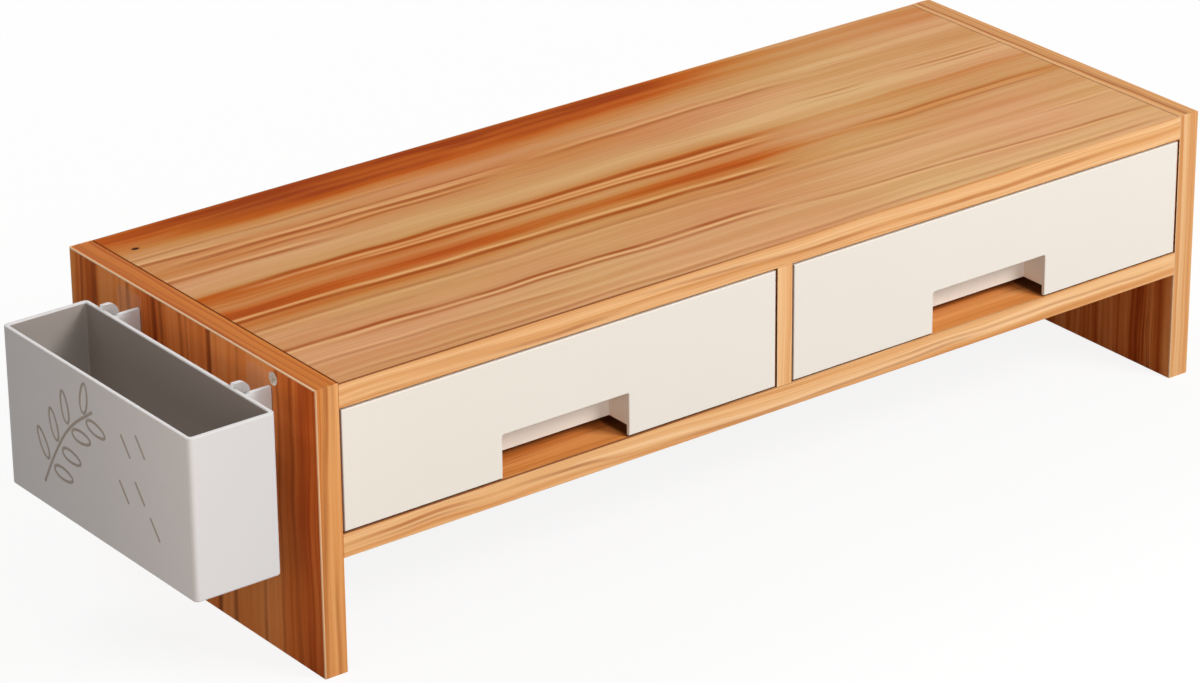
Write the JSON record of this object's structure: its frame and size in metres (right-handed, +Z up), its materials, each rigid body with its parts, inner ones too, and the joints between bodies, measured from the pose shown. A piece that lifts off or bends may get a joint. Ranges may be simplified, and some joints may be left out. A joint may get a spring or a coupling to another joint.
{
  "type": "monitor stand",
  "caption": "Low wood-grain desk stand for a monitor, with a row of pull-out drawers under its top, open space below and a grey pen box hooked on its left side.",
  "frame": {"origin": "middle of the whole object's footprint, pen box included, on the desk", "axes": "+X to the right seen from the front, along the length; drawers open towards -Y; +Z up"},
  "size_m": [0.583, 0.2, 0.14],
  "materials": {
    "wood_print": "wood-grain printed foil on particle board, satin",
    "back_board": "thin fibre board with printed foil, satin",
    "edge_band": "light wood-grain plastic edge band, satin",
    "drawer_plastic": "cream moulded plastic, satin",
    "grey_plastic": "light warm grey moulded plastic, matt",
    "clear_film": "clear adhesive film",
    "screw_steel": "bright plated steel",
    "dowel_wood": "plain beech"
  },
  "bodies": {
    "stand": {"top_panel": "wood_print", "left_side_panel": "wood_print", "right_side_panel": "wood_print", "drawer_shelf": "wood_print", "centre_divider": "wood_print", "back_panel": "back_board", "top_front_edge_band": "edge_band", "top_rear_edge_band": "edge_band", "shelf_front_edge_band": "edge_band", "shelf_rear_edge_band": "edge_band", "divider_edge_band": "edge_band", "left_side_edge_bands": "edge_band", "right_side_edge_bands": "edge_band", "left_side_screws": "screw_steel", "right_side_screws": "screw_steel", "divider_screws": "screw_steel", "top_panel_dowels": "dowel_wood", "shelf_dowels": "dowel_wood", "divider_dowels": "dowel_wood", "front_hook_bracket": "grey_plastic", "rear_hook_bracket": "grey_plastic", "front_adhesive_pad": "clear_film", "rear_adhesive_pad": "clear_film"},
    "left_drawer": {"left_drawer_tray": "drawer_plastic"},
    "right_drawer": {"right_drawer_tray": "drawer_plastic"},
    "hanging_box": {"pen_box": "grey_plastic"}
  },
  "joints": [
    {"name": "left_drawer_slide", "type": "slide", "parent": "stand", "child": "left_drawer", "axis": [0, -1, 0], "range_m": [0, 0.15]},
    {"name": "right_drawer_slide", "type": "slide", "parent": "stand", "child": "right_drawer", "axis": [0, -1, 0], "range_m": [0, 0.15]},
    {"name": "pen_box_lift", "type": "slide", "parent": "stand", "child": "hanging_box", "axis": [0, 0, 1], "range_m": [0, 0.03]}
  ]
}
